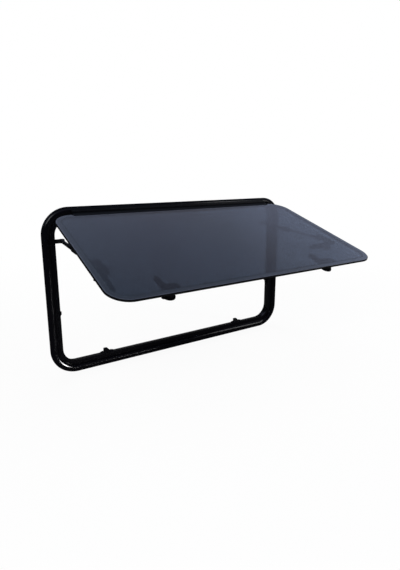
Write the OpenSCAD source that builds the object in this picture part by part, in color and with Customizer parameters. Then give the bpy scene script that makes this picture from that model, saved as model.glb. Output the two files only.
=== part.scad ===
// Top-hung caravan window, shown open on its two telescopic stays.
// Millimetres. X runs right and -Y points out of the wall, seen from outside; Z is up.
// The origin is on the wall face of the flange, at the middle of the bottom rail.

/* [Frame] */
// Width over the outside of the flange
frame_w = 1000; // [600:5:1400]
// Height over the outside of the flange
frame_h = 568; // [400:2:800]
// Radius of the frame's outer corners
frame_r = 90; // [60:1:140]
// Width of the flange that lies on the wall
flange_w = 24; // [16:1:34]
// Width of the rounded bead round the flange
bead_w = 26; // [20:1:36]
// How far the bead stands proud of the wall
bead_h = 12; // [8:0.5:18]
// Radius of the bead's round back
bead_r = 15; // [13:0.5:30]
// Depth of the frame behind the wall face
frame_depth = 33.5; // [25:0.5:60]
// Thickness of the frame's rear edge
rear_wall = 9; // [6:0.5:14]
// Height of the floor of the gutter beside the bead
gutter_h = 3; // [2:0.5:5]
// Width of the gutter
gutter_w = 5.5; // [4:0.5:10]
// Width of the ledge that the sash closes on
ledge_w = 10.5; // [8:0.5:16]
// Height of the ledge above the wall face
ledge_h = 5; // [4:0.5:7]
// Chamfer on the frame's rear edge
rear_chamfer = 1.5; // [0.5:0.5:3]

// Radius of the pilot holes for the inner frame's screws
pilot_r = 1.6; // [1:0.1:2.2]
// Depth of those holes
pilot_depth = 16; // [8:1:24]
// Spacing of the outer holes in the top and bottom rails
pilot_outer = 600; // [300:10:800]
// Spacing of the inner holes in the top and bottom rails
pilot_inner = 200; // [100:10:280]
// Spacing of the holes in the side rails
pilot_side = 240; // [100:10:360]

/* [Lip seal] */
// Thickness of the rubber lip on the ledge
lip_t = 1.4; // [1:0.1:2.5]
// How far the lip reaches past the ledge
lip_reach = 3; // [1:0.5:5]
// Radius of the ridge on the lip's outer side
ridge_r = 1.3; // [0.8:0.1:2]

/* [Sash] */
// Opening angle of the sash, 0 when shut
sash_open = 72.2; // [0:0.1:75]
// Gap between the frame's outside and the sash, at the sides
sash_side_inset = 27.5; // [20:0.5:40]
// Radius of the sash's corners
sash_r = 60; // [40:1:90]
// Gap between the frame's outside and the sash, at the top
sash_top_inset = 31; // [28:0.5:40]
// Gap between the frame's outside and the sash, at the bottom
sash_foot_inset = 32; // [20:1:40]
// Height of the sash's outer face above the wall face, when shut
sash_face_h = 17.5; // [16:0.5:24]
// Thickness of the outer pane
pane_t = 3; // [3:0.5:6]
// Thickness of the inner pane
tray_t = 1.5; // [1.5:0.1:3]
// Width of the bonded border between the panes
border_w = 18; // [12:1:30]
// Depth of the sash from its outer face to the back of the inner pane
sash_t = 15; // [12:0.5:26]
// Step in from the sash's edge to the inner pane's rim
rim_step = 0.5; // [0.2:0.1:2]
// Thickness of the black strip round the sash's edge
strip_t = 1.2; // [0.8:0.1:2]
// Height that the pane stands above the strip
strip_drop = 1; // [0:0.5:3]
// Radius of the round sash seal
seal_r = 3.3; // [1.5:0.1:4]
// Width of the foot that holds the sash seal
seal_foot_w = 15; // [10:0.5:17]
// Thickness of that foot
seal_foot_t = 1.2; // [1:0.1:3]

/* [Hinge] */
// Distance of the hinge line below the top of the frame
hinge_inset = 16.1; // [15:0.1:26]
// Height of the hinge line above the wall face
hinge_h = 20.5; // [18:0.1:28]
// Length of the hinge rails
hinge_len = 806; // [400:2:1200]
// Radius of the bead that turns in the rail
hinge_bead_r = 3; // [2:0.1:4]
// Wall of the round channel
hinge_wall = 2.1; // [1.5:0.1:3]
// Running clearance round the bead
hinge_clear = 0.1; // [0.05:0.05:0.3]
// Thickness of the hinge rails' webs
hinge_web = 2; // [1.5:0.1:3]
// Width of the saddle that holds the rail on the frame's bead
saddle_w = 16; // [10:1:20]
// Width of the sash rail's flange behind the border
sash_rail_w = 14; // [10:1:17]
// Width of the sash rail's cover over the top of the outer pane
cover_w = 8; // [4:0.5:12]
// Thickness of that cover
cover_t = 1.5; // [1:0.1:2.5]

/* [Stays] */
// Distance of each stay from the side of the frame
stay_inset = 69; // [60:1:120]
// Distance of the frame pivot below the top of the frame
stay_drop = 112; // [90:1:160]
// Depth of the frame pivot behind the wall face
stay_y = 18; // [10:0.5:22]
// Distance of the sash pivot down from the top of the glazing
stay_v = 288; // [200:1:340]
// Distance of the sash pivot behind the inner pane
stay_standoff = 11; // [9:0.5:16]
// Diameter of the outer tube
tube_d = 12; // [10:0.5:16]
// Wall of the outer tube
tube_wall = 1.5; // [1:0.1:2.5]
// Length of the outer tube from its pivot
tube_len = 164; // [120:1:168]
// Diameter of the collar at the tube's mouth
collar_d = 17; // [14:0.5:20]
// Length of the collar
collar_len = 46; // [20:1:60]
// Length of the collar's rounded ends
collar_taper = 6; // [3:0.5:10]
// Diameter of the sliding rod
rod_d = 7; // [5:0.5:8]
// Running clearance round the rod
rod_clear = 0.1; // [0.05:0.05:0.3]
// Length of rod that stays in the tube when the sash is open
rod_overlap = 42; // [20:1:60]
// Diameter of the socket on the rod's end
socket_d = 11; // [9:0.5:13]
// Length of the socket
socket_len = 34; // [20:1:40]
// Radius of the eyes at the stays' ends
eye_r = 7.5; // [6:0.5:10]
// Thickness of the eyes
eye_t = 10; // [6:0.5:14]
// Radius of the pivot pins
pin_r = 3; // [2:0.1:4]
// Running clearance round the pins
pin_clear = 0.1; // [0.05:0.05:0.3]
// Radius of the arm from the frame to the pivot
arm_r = 7; // [5:0.5:8]
// Length of the stay's plate on the frame
stay_plate_len = 46; // [34:1:70]
// Width of the stay's plate on the frame
stay_plate_w = 22; // [16:1:26]
// Thickness of the plates of stays and strikers
plate_t = 3; // [2:0.5:5]
// Length of the stay's foot on the sash
foot_len = 28; // [26:1:60]
// Width of the stay's foot on the sash
foot_w = 26; // [22:1:44]
// Thickness of the foot's cheeks
cheek_t = 4; // [3:0.5:6]
// Gap between an eye and what carries it
eye_gap = 0.3; // [0.1:0.1:1]

/* [Catches] */
// Distance of a side catch's pivot from the sash's edge
catch_inset = 42; // [40:1:70]
// Distance of a bottom catch's pivot from the sash's lower edge
catch_rise = 46; // [42:1:70]
// Distance of the side catches below the stays' sash pivots
side_catch_drop = 42; // [40:1:90]
// Distance of the bottom catches from the sash's side edges
bottom_catch_u = 176; // [120:1:300]
// Radius of a catch's base plate
base_r = 27; // [22:0.5:32]
// Distance of the base plate's straight side from the pivot
base_flat = 17; // [12:0.5:20]
// Thickness of a catch's base plate
base_t = 4; // [3:0.5:6]
// Radius of the catch's hub
hub_r = 14; // [9:0.5:16]
// Height of the hub above the base plate
hub_h = 16; // [6:0.5:24]
// Length of the lever from the pivot to its tip
lever_len = 84; // [60:1:90]
// Width of the lever at the hub
lever_w = 17; // [12:0.5:20]
// Width of the lever at its tip
tip_w = 12; // [8:0.5:16]
// Thickness of the lever
lever_t = 6; // [4:0.5:8]
// Depth of the finger hollow in the lever
finger_depth = 1.5; // [0.5:0.5:3]
// Reach of the hook from the pivot
hook_reach = 22; // [14:0.5:24]
// Width of the hook
hook_w = 13; // [8:0.5:16]
// Thickness of the hook
hook_t = 5; // [3:0.5:7]
// Radius of the round head under the cap
head_r = 17; // [14:0.5:20]
// How far the head is let into the lever
head_sink = 2; // [1:0.5:4]
// Radius of the cap over the pivot
cap_r = 7; // [4:0.5:9]
// Height of that cap
cap_h = 2.5; // [1.5:0.5:4]

// Radius of the screw holes in plates and bases
screw_r = 2; // [1.5:0.25:3]

// Gap between a screwed-on plate and what it lies on
seat_gap = 0.2; // [0:0.1:0.5]

/* [Strikers] */
// Depth of the strikers behind the wall face
striker_y = 20; // [14:0.5:24]
// Length of a striker's plate
striker_len = 50; // [36:1:70]
// Width of a striker's plate
striker_w = 18; // [14:1:22]
// Length of a striker's nose at its foot
nose_len = 24; // [16:1:34]
// Length of the nose at its top
nose_top = 11; // [6:0.5:16]
// Height of the nose above the plate
nose_h = 12; // [8:0.5:14]
// Thickness of the nose
nose_t = 9; // [6:0.5:12]

/* [Hidden] */
$fn = 64;
black = "#16171a";
rubber = "#0f1012";
satin = "#202225";
steel = "#3c3f44";
smoke = [0.34, 0.38, 0.45, 0.6];
clear_smoke = [0.42, 0.46, 0.53, 0.5];

sash_w = frame_w - 2 * sash_side_inset;
sash_h = frame_h - sash_top_inset - sash_foot_inset;
base_z = -flange_w / 2;
mid_z = base_z + frame_h / 2;
ledge_n = bead_w + gutter_w;
throat_n = ledge_n + ledge_w;
rear_n = flange_w + rear_wall;
hinge_y = -hinge_h;
hinge_z = base_z + frame_h - hinge_inset;
sash_top_z = base_z + frame_h - sash_top_inset;
sash_mid_z = sash_top_z - sash_h / 2;
back_y = sash_t - sash_face_h;
wall_run = frame_depth - rear_chamfer + gutter_h;
wall_tilt = atan((throat_n - rear_n) / wall_run);
bore_r = hinge_bead_r + hinge_clear;
head_z = base_t + hub_h + lever_t - head_sink;

// The channel's mouth, as angles from straight down, turned outwards
mouth_low = -42;
mouth_mid = 25;
mouth_high = 98;

// Inset of the frame's inner wall at a depth behind the wall face
function wall_n(y) = rear_n + (frame_depth - rear_chamfer - y) * tan(wall_tilt);

// A point of the shut sash, given as [y, z], after the sash has opened
function opened(p) = [
    hinge_y + (p[0] - hinge_y) * cos(sash_open) + (p[1] - hinge_z) * sin(sash_open),
    hinge_z - (p[0] - hinge_y) * sin(sash_open) + (p[1] - hinge_z) * cos(sash_open)
];

stay_x = frame_w / 2 - stay_inset;
side_catch_v = stay_v + side_catch_drop;
frame_pivot = [stay_y, base_z + frame_h - stay_drop];
sash_pivot = opened([back_y + seat_gap + stay_standoff, sash_top_z - stay_v]);
stay_run = norm(sash_pivot - frame_pivot);
stay_turn = atan2(frame_pivot[0] - sash_pivot[0], sash_pivot[1] - frame_pivot[1]);

// Which piece to draw

// In each profile, X is the inset from the outside and Y the height above the wall face.
// Runs a profile along the top rail
module top_run(run, h) {
    rotate([0, 0, 180]) translate([0, -h / 2, 0]) rotate([90, 0, 90])
        linear_extrude(run, center = true) children();
}

// Sweeps a profile round a rounded rectangle
module round_sweep(w, h, r) {
    for (side = [0, 180]) {
        rotate([0, 0, side]) translate([0, -h / 2, 0]) rotate([90, 0, 90])
            linear_extrude(w - 2 * r, center = true) children();
        rotate([0, 0, side]) translate([-w / 2, 0, 0]) rotate([90, 0, 0])
            linear_extrude(h - 2 * r, center = true) children();
    }
    for (corner = [[-1, -1, 180], [1, -1, 270], [1, 1, 0], [-1, 1, 90]])
        translate([corner[0] * (w / 2 - r), corner[1] * (h / 2 - r), 0])
            rotate([0, 0, corner[2]]) rotate_extrude(angle = 90)
                translate([r, 0]) mirror([1, 0]) children();
}

module round_plate(w, h, r, t) {
    linear_extrude(t) {
        square([w - 2 * r, h], center = true);
        square([w, h - 2 * r], center = true);
        for (x = [-1, 1])
            for (y = [-1, 1])
                translate([x * (w / 2 - r), y * (h / 2 - r)]) circle(r);
    }
}

// Stands a piece drawn in XY up in the wall, with its Z pointing outside
module on_wall(z) {
    translate([0, 0, z]) rotate([90, 0, 0]) children();
}

// Swings a piece of the shut sash open about the hinge line
module swung() {
    translate([0, hinge_y, hinge_z]) rotate([-sash_open, 0, 0])
        translate([0, -hinge_y, -hinge_z]) children();
}

module frame_section() {
    intersection() {
        translate([bead_w / 2, bead_h - bead_r]) circle(bead_r);
        square([bead_w, bead_h + 1]);
    }
    polygon([
        [flange_w, 0],
        [flange_w, rear_chamfer - frame_depth],
        [flange_w + rear_chamfer, -frame_depth],
        [rear_n - rear_chamfer, -frame_depth],
        [rear_n, rear_chamfer - frame_depth],
        [throat_n, gutter_h],
        [throat_n, ledge_h],
        [ledge_n, ledge_h],
        [ledge_n, gutter_h],
        [bead_w - 1, gutter_h],
        [bead_w - 1, 0]
    ]);
}

// The holes are in the frame's rear edge, midway through its wall
module pilot_holes() {
    hole_n = flange_w + rear_wall / 2;
    rows = [
        [pilot_outer / 2, frame_h / 2 - hole_n],
        [pilot_inner / 2, frame_h / 2 - hole_n],
        [frame_w / 2 - hole_n, pilot_side / 2]
    ];
    for (at = rows)
        for (x = [-at[0], at[0]])
            for (y = [-at[1], at[1]])
                translate([x, y, -frame_depth - 1]) cylinder(h = pilot_depth + 1, r = pilot_r);
}

module outer_frame() {
    color(black) on_wall(mid_z) difference() {
        round_sweep(frame_w, frame_h, frame_r) frame_section();
        pilot_holes();
    }
}

module lip_section() {
    translate([ledge_n + ridge_r, ledge_h]) square([ledge_w + lip_reach - ridge_r - lip_t / 2, lip_t]);
    translate([throat_n + lip_reach - lip_t / 2, ledge_h + lip_t / 2]) circle(lip_t / 2);
    translate([ledge_n + ridge_r, ledge_h + ridge_r]) circle(ridge_r);
}

module lip_seal() {
    color(rubber) on_wall(mid_z) round_sweep(frame_w, frame_h, frame_r) lip_section();
}

module outer_pane() {
    color(smoke) swung() on_wall(sash_mid_z)
        translate([0, 0, sash_face_h - pane_t]) round_plate(sash_w, sash_h, sash_r, pane_t);
}

// The pressed inner pane: a flat rim, two bends and a flat back
module tray_section() {
    rim_top = sash_face_h - pane_t;
    back_h = sash_face_h - sash_t;
    bend_r = (rim_top - back_h) / 2;
    mid_h = back_h + bend_r;
    translate([rim_step, rim_top - tray_t]) square([border_w - rim_step, tray_t]);
    translate([border_w, mid_h]) intersection() {
        difference() {
            circle(bend_r);
            circle(bend_r - tray_t);
        }
        square(bend_r + 1);
    }
    translate([border_w + 2 * bend_r - tray_t, mid_h]) rotate(180) intersection() {
        difference() {
            circle(bend_r);
            circle(bend_r - tray_t);
        }
        square(bend_r + 1);
    }
}

module inner_pane() {
    flat_inset = border_w + sash_t - pane_t - tray_t;
    color(clear_smoke) swung() on_wall(sash_mid_z) {
        round_sweep(sash_w, sash_h, sash_r) tray_section();
        translate([0, 0, sash_face_h - sash_t]) round_plate(
            sash_w - 2 * flat_inset, sash_h - 2 * flat_inset, sash_r - flat_inset, tray_t
        );
    }
}

module seal_section() {
    foot_top = sash_face_h - pane_t - tray_t;
    translate([-strip_t, foot_top - seal_foot_t]) square([seal_foot_w + strip_t, seal_foot_t]);
    translate([-strip_t, foot_top - seal_foot_t])
        square([strip_t, seal_foot_t + tray_t + pane_t - strip_drop]);
    translate([seal_foot_w - seal_r, foot_top - seal_r]) circle(seal_r);
}

module sash_seal() {
    foot_top = sash_face_h - pane_t - tray_t;
    color(rubber) swung() on_wall(sash_mid_z) difference() {
        round_sweep(sash_w, sash_h, sash_r) seal_section();
        translate([-hinge_len / 2 - 1, sash_h / 2 - sash_rail_w - 1, foot_top - 2 * seal_foot_t - seal_r])
            cube([hinge_len + 2, sash_rail_w + strip_t + 2, 2 * sash_face_h]);
    }
}

// The rail clasps the bead's crest and carries a channel that is open downwards
module frame_rail_section() {
    channel_r = bore_r + hinge_wall;
    bead_mid = [bead_w / 2, bead_h - bead_r];
    hinge_mid = [hinge_inset, hinge_h];
    difference() {
        union() {
            translate(hinge_mid) circle(channel_r);
            translate([hinge_inset - hinge_web, bead_mid[1]])
                square([2 * hinge_web, hinge_h - bead_mid[1] - bore_r]);
            intersection() {
                translate(bead_mid) circle(bead_r + hinge_web);
                translate([bead_w - hinge_web - saddle_w, bead_mid[1]])
                    square([saddle_w, bead_r + hinge_web]);
            }
        }
        translate(bead_mid) circle(bead_r);
        translate(hinge_mid) circle(bore_r);
        translate(hinge_mid) polygon([
            [0, 0],
            2 * channel_r * [cos(mouth_low), sin(mouth_low)],
            3 * channel_r * [cos(mouth_mid), sin(mouth_mid)],
            2 * channel_r * [cos(mouth_high), sin(mouth_high)]
        ]);
    }
}

module frame_hinge_rail() {
    color(satin) on_wall(mid_z) top_run(hinge_len, frame_h) frame_rail_section();
}

// The bead, the neck and the flange that is bonded behind the sash's upper border
module sash_rail_section() {
    foot_top = sash_face_h - pane_t - tray_t;
    neck_n = sash_top_inset - hinge_web;
    translate([hinge_inset, hinge_h]) circle(hinge_bead_r);
    polygon([
        [hinge_inset, hinge_h - hinge_web / 2],
        [neck_n, sash_face_h - pane_t],
        [neck_n, foot_top - hinge_web],
        [sash_top_inset + sash_rail_w, foot_top - hinge_web],
        [sash_top_inset + sash_rail_w, foot_top],
        [sash_top_inset, foot_top],
        [sash_top_inset, sash_face_h],
        [sash_top_inset + cover_w, sash_face_h],
        [sash_top_inset + cover_w, sash_face_h + cover_t],
        [neck_n, sash_face_h + cover_t],
        [hinge_inset, hinge_h + hinge_web / 2]
    ]);
}

module sash_hinge_rail() {
    color(satin) swung() on_wall(mid_z) top_run(hinge_len, frame_h) sash_rail_section();
}

// Draws a left-hand piece, or its mirror image on the right
module handed(side) {
    if (side < 0) children();
    else mirror([1, 0, 0]) children();
}

// Puts a piece that is drawn up Z on the line of the left stay, out from the frame pivot
module on_stay(run) {
    translate([-stay_x, frame_pivot[0], frame_pivot[1]]) rotate([stay_turn, 0, 0])
        translate([0, 0, run]) children();
}

// Sets a piece drawn in XY on the left wall of the opening, with its Z pointing inwards
module on_side_wall(y, z) {
    translate([wall_n(y) - frame_w / 2, y, z]) rotate([0, 0, wall_tilt]) rotate([0, 90, 0])
        translate([0, 0, seat_gap]) children();
}

module stay_bracket(side) {
    arm_start = wall_n(stay_y) - stay_inset + plate_t / 2;
    color(satin) handed(side) {
        on_side_wall(frame_pivot[0], frame_pivot[1]) difference() {
            round_bar(stay_plate_len, stay_plate_w, plate_t);
            for (x = [-1, 1])
                translate([x * (stay_plate_len - stay_plate_w) / 2, 0, -1]) cylinder(h = plate_t + 2, r = screw_r);
        }
        translate([-stay_x, frame_pivot[0], frame_pivot[1]]) rotate([0, 90, 0]) {
            translate([0, 0, arm_start]) cylinder(h = -arm_start - eye_t / 2 - eye_gap, r = arm_r);
            translate([0, 0, -eye_t]) cylinder(h = 1.5 * eye_t + eye_gap + plate_t, r = pin_r);
            translate([0, 0, eye_t / 2 + eye_gap]) cylinder(h = plate_t, r = eye_r - 1);
        }
    }
}

// A flat bar with round ends, along X
module round_bar(run, w, t) {
    linear_extrude(t) {
        square([run - w, w], center = true);
        for (x = [-1, 1])
            translate([x * (run - w) / 2, 0]) circle(w / 2);
    }
}

module eye() {
    rotate([0, 90, 0]) difference() {
        cylinder(h = eye_t, r = eye_r, center = true);
        cylinder(h = eye_t + 2, r = pin_r + pin_clear, center = true);
    }
}

module stay_tube(side) {
    color(black) handed(side) on_stay(0) {
        eye();
        difference() {
            cylinder(h = tube_len - collar_len / 2, r = tube_d / 2);
            rotate([0, 90, 0]) cylinder(h = tube_d + 2, r = eye_r - 1, center = true);
            translate([0, 0, 2 * eye_r]) cylinder(h = tube_len, r = tube_d / 2 - tube_wall);
        }
    }
}

module stay_collar(side) {
    color(black) handed(side) on_stay(tube_len - collar_len) difference() {
        rotate_extrude() polygon([
            [0, 0],
            [tube_d / 2, 0],
            [collar_d / 2, collar_taper],
            [collar_d / 2, collar_len - collar_taper],
            [tube_d / 2, collar_len],
            [0, collar_len]
        ]);
        translate([0, 0, -1]) cylinder(h = collar_len / 2 + 1, r = tube_d / 2 + eye_gap / 3);
        cylinder(h = collar_len + 1, r = rod_d / 2 + rod_clear);
    }
}

module stay_rod(side) {
    rod_start = tube_len - rod_overlap;
    color(steel) handed(side) on_stay(rod_start)
        cylinder(h = stay_run - eye_r - socket_len / 2 - rod_start, r = rod_d / 2);
}

module stay_socket(side) {
    color(black) handed(side) on_stay(stay_run) {
        eye();
        mirror([0, 0, 1]) difference() {
            translate([0, 0, eye_r - 1]) cylinder(h = socket_len, r = socket_d / 2);
            translate([0, 0, eye_r + socket_len / 2]) cylinder(h = socket_len, r = rod_d / 2 + rod_clear);
        }
    }
}

// Sets a piece drawn in XY on the back of the inner pane, with its Z pointing inwards,
// its Y up the shut sash and its X to the left, seen from outside
module on_sash_back(u, v) {
    swung() translate([u - sash_w / 2, back_y + seat_gap, sash_top_z - v]) rotate([-90, 0, 0])
        rotate([0, 0, 180]) children();
}

module stay_foot(side) {
    cheek_x = eye_t / 2 + eye_gap + cheek_t / 2;
    color(satin) handed(side) on_sash_back(stay_inset - sash_side_inset, stay_v) {
        difference() {
            rotate([0, 0, 90]) round_bar(foot_len, foot_w, plate_t);
            for (y = [-1, 1])
                translate([0, y * (foot_len - screw_r * 4) / 2, -1]) cylinder(h = plate_t + 2, r = screw_r);
        }
        translate([0, 0, stay_standoff]) rotate([0, 90, 0])
            cylinder(h = 2 * cheek_x + cheek_t, r = pin_r, center = true);
        for (x = [-1, 1])
            translate([x * cheek_x, 0, stay_standoff]) rotate([0, 90, 0])
                linear_extrude(cheek_t, center = true) {
                    circle(eye_r);
                    translate([0, -eye_r]) square([stay_standoff - plate_t / 2, 2 * eye_r]);
                }
    }
}

module catch_base() {
    difference() {
        linear_extrude(base_t) intersection() {
            circle(base_r);
            translate([-base_r, -base_flat]) square([2 * base_r, base_flat + base_r]);
        }
        for (x = [-1, 1])
            translate([x * (base_r - 4 * screw_r), 3 * screw_r - base_flat, -1])
                cylinder(h = base_t + 2, r = screw_r);
        translate([0, 0, -1]) cylinder(h = base_t + 2, r = pin_r + pin_clear);
    }
    cylinder(h = base_t / 2, r = pin_r + 2);
}

// The lever points along Y and the hook along X; Z comes off the sash
module catch_lever() {
    lever_z = base_t + hub_h;
    difference() {
        union() {
            translate([0, 0, base_t + eye_gap]) cylinder(h = hub_h - eye_gap, r = hub_r);
            translate([0, 0, lever_z]) linear_extrude(lever_t) {
                circle(hub_r);
                translate([0, lever_len - tip_w / 2]) circle(tip_w / 2);
                polygon([
                    [-lever_w / 2, 0],
                    [lever_w / 2, 0],
                    [tip_w / 2, lever_len - tip_w / 2],
                    [-tip_w / 2, lever_len - tip_w / 2]
                ]);
            }
            translate([0, 0, head_z]) linear_extrude(hook_t) {
                circle(head_r);
                translate([hook_reach - hook_w / 2, 0]) circle(hook_w / 2);
                translate([0, -hook_w / 2]) square([hook_reach - hook_w / 2, hook_w]);
            }
        }
        translate([0, 0, lever_z + lever_t - finger_depth]) linear_extrude(2 * finger_depth) {
            translate([0, lever_len - tip_w / 2]) circle(tip_w / 2 - finger_depth);
            translate([0, head_r + tip_w]) circle(tip_w / 2 - finger_depth);
            translate([finger_depth - tip_w / 2, head_r + tip_w])
                square([tip_w - 2 * finger_depth, lever_len - head_r - 1.5 * tip_w]);
        }
    }
}

// Each catch is given as its place on the sash, the turn of its base and its lever, and
// its hand; the left side catch is turned to its shut place
lower_v = sash_h - catch_rise;
left_catch = [catch_inset, side_catch_v, 90, 180, 1];
right_catch = [sash_w - catch_inset, side_catch_v, -90, -90, 0];
lower_left_catch = [bottom_catch_u, lower_v, 0, 0, 0];
lower_right_catch = [sash_w - bottom_catch_u, lower_v, 0, 0, 1];

module at_catch(c, turn) {
    on_sash_back(c[0], c[1]) rotate([0, 0, turn]) children();
}

module base_at(c) {
    color(black) at_catch(c, c[2]) catch_base();
}

module lever_at(c) {
    color(black) at_catch(c, c[3]) mirror([c[4], 0, 0]) catch_lever();
}

module catch_caps() {
    color(satin) for (c = [left_catch, right_catch, lower_left_catch, lower_right_catch])
        at_catch(c, 0) translate([0, 0, head_z + hook_t]) cylinder(h = cap_h, r = cap_r);
}

// The nose leans on one side; X runs along the rail and Z points into the opening
module striker() {
    difference() {
        round_bar(striker_len, striker_w, plate_t);
        for (x = [-1, 1])
            translate([x * (striker_len - striker_w) / 2, 0, -1]) cylinder(h = plate_t + 2, r = screw_r);
    }
    rotate([90, 0, 0]) linear_extrude(nose_t, center = true) polygon([
        [-nose_len / 2, plate_t / 2],
        [nose_len / 2, plate_t / 2],
        [nose_len / 2 - 1, nose_h / 3],
        [nose_top - nose_len / 2 + 2, plate_t + nose_h],
        [2 - nose_len / 2, plate_t + nose_h]
    ]);
}

module side_striker(side) {
    color(satin) handed(side) on_side_wall(striker_y, sash_top_z - side_catch_v) striker();
}

module lower_striker(side) {
    color(satin) translate([side * (sash_w / 2 - bottom_catch_u), striker_y, base_z + wall_n(striker_y)])
        rotate([-wall_tilt, 0, 0]) translate([0, 0, seat_gap]) striker();
}

outer_frame();
lip_seal();
outer_pane();
inner_pane();
sash_seal();
frame_hinge_rail();
sash_hinge_rail();
stay_bracket(-1);  // left_stay_bracket
stay_tube(-1);  // left_stay_tube
stay_collar(-1);  // left_stay_collar
stay_rod(-1);  // left_stay_rod
stay_socket(-1);  // left_stay_socket
stay_foot(-1);  // left_stay_foot
stay_bracket(1);  // right_stay_bracket
stay_tube(1);  // right_stay_tube
stay_collar(1);  // right_stay_collar
stay_rod(1);  // right_stay_rod
stay_socket(1);  // right_stay_socket
stay_foot(1);  // right_stay_foot
base_at(left_catch);  // left_catch_base
lever_at(left_catch);  // left_catch_lever
base_at(right_catch);  // right_catch_base
lever_at(right_catch);  // right_catch_lever
base_at(lower_left_catch);  // lower_left_catch_base
lever_at(lower_left_catch);  // lower_left_catch_lever
base_at(lower_right_catch);  // lower_right_catch_base
lever_at(lower_right_catch);  // lower_right_catch_lever
catch_caps();
side_striker(-1);  // left_striker
side_striker(1);  // right_striker
lower_striker(-1);  // lower_left_striker
lower_striker(1);  // lower_right_striker
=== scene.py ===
import math

import bmesh
import bpy
from mathutils import Matrix, Vector


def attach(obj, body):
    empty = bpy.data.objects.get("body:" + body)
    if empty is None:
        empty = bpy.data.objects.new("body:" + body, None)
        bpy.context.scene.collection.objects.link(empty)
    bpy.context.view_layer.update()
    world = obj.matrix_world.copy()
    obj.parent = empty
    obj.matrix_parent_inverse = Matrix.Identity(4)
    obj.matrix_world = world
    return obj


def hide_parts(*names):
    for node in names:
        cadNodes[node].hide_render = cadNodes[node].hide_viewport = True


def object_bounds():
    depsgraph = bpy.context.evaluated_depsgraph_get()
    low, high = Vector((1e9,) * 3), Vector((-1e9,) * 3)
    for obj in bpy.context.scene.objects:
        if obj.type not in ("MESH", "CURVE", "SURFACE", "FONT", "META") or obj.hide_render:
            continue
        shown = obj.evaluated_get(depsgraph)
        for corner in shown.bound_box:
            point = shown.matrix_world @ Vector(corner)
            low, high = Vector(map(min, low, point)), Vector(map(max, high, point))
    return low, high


# Caravan window, standing open on its two stays.
# Metres; X runs right and -Y outside, Z is up. Piece sizes below are in mm.
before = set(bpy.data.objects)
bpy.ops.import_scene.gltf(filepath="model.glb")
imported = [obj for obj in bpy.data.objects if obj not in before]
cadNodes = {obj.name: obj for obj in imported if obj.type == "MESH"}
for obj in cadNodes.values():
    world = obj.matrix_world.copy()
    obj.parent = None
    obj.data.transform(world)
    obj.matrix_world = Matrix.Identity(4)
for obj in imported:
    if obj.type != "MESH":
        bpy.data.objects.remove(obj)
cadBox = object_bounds()
mm = 0.001
print("frame loaded:", len(cadNodes), "nodes")

# What the drawn pieces share with the construction
window = {
    "width": 1000,
    "height": 568,
    "cornerRadius": 90,
    "foot": -12,  # height of the flange's lower edge
    "rearInset": 33,  # inset of the rear edge's inner side
    "rearDepth": 32,  # where the tapered wall ends
    "taper": math.atan2(9, 35),
}
sash = {
    "width": 945,
    "height": 505,
    "cornerRadius": 60,
    "top": 525,
    "back": -2.3,  # the fittings' seat behind the inner pane, sash shut
    "hinge": (-20.5, 539.9),
    "opening": math.radians(72.2),
    "border": 18,
}


def swung(point):
    # a point of the shut sash, opened about the hinge line
    dy, dz = point[1] - sash["hinge"][0], point[2] - sash["hinge"][1]
    c, s = math.cos(sash["opening"]), math.sin(sash["opening"])
    return Vector((point[0], sash["hinge"][0] + c * dy + s * dz, sash["hinge"][1] - s * dy + c * dz))


def onSashBack(u, v, x, y, z):
    # u, v from the sash's top left corner; z inwards from the inner pane
    return swung((u - sash["width"] / 2 - x, sash["back"] + z, sash["top"] - v + y))


def wallInset(depth):
    return window["rearInset"] + (window["rearDepth"] - depth) * math.tan(window["taper"])


def onSideWall(depth, height, x, y, z):
    # the left inner wall of the frame; z away from the wall
    c, s = math.cos(window["taper"]), math.sin(window["taper"])
    return Vector((wallInset(depth) - window["width"] / 2 + z * c - y * s, depth + z * s + y * c, height - x))


def onSill(along, depth, x, y, z):
    # the lower inner wall of the frame
    c, s = math.cos(window["taper"]), math.sin(window["taper"])
    return Vector((along + x, depth + y * c + z * s, window["foot"] + wallInset(depth) - y * s + z * c))


def turnedBy(x, y, degrees):
    a = math.radians(degrees)
    return x * math.cos(a) - y * math.sin(a), x * math.sin(a) + y * math.cos(a)


def placed(name, data):
    # a new object in the scene
    thing = bpy.data.objects.new(name, data)
    bpy.context.scene.collection.objects.link(thing)
    return thing


def hexColour(code):
    channels = [int(code[i : i + 2], 16) / 255 for i in (1, 3, 5)]
    return tuple(c / 12.92 if c <= 0.04045 else ((c + 0.055) / 1.055) ** 2.4 for c in channels) + (1.0,)


def add(tree, kind, sockets=None, **settings):
    # one node, its settings, and each socket's value or link
    node = tree.nodes.new(kind)
    for name, value in settings.items():
        setattr(node, name, value)
    for name, value in (sockets or {}).items():
        if isinstance(value, bpy.types.NodeSocket):
            tree.links.new(value, node.inputs[name])
        else:
            node.inputs[name].default_value = value
    return node


def maths(tree, operation, first, second=None, **settings):
    sockets = {0: first} if second is None else {0: first, 1: second}
    return add(tree, "ShaderNodeMath", sockets, operation=operation, **settings).outputs[0]


def mixTones(tree, share, first, second, **settings):
    return add(tree, "ShaderNodeMix", {0: share, 6: first, 7: second}, data_type="RGBA", **settings).outputs[2]


def mixValues(tree, share, first, second):
    return add(tree, "ShaderNodeMix", {0: share, 2: first, 3: second}).outputs[0]


def remap(tree, value, given, wanted, **settings):
    # spreads one range over another and holds its ends
    sockets = {"Value": value, "From Min": given[0], "From Max": given[1], "To Min": wanted[0], "To Max": wanted[1]}
    return add(tree, "ShaderNodeMapRange", sockets, **settings).outputs["Result"]


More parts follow.
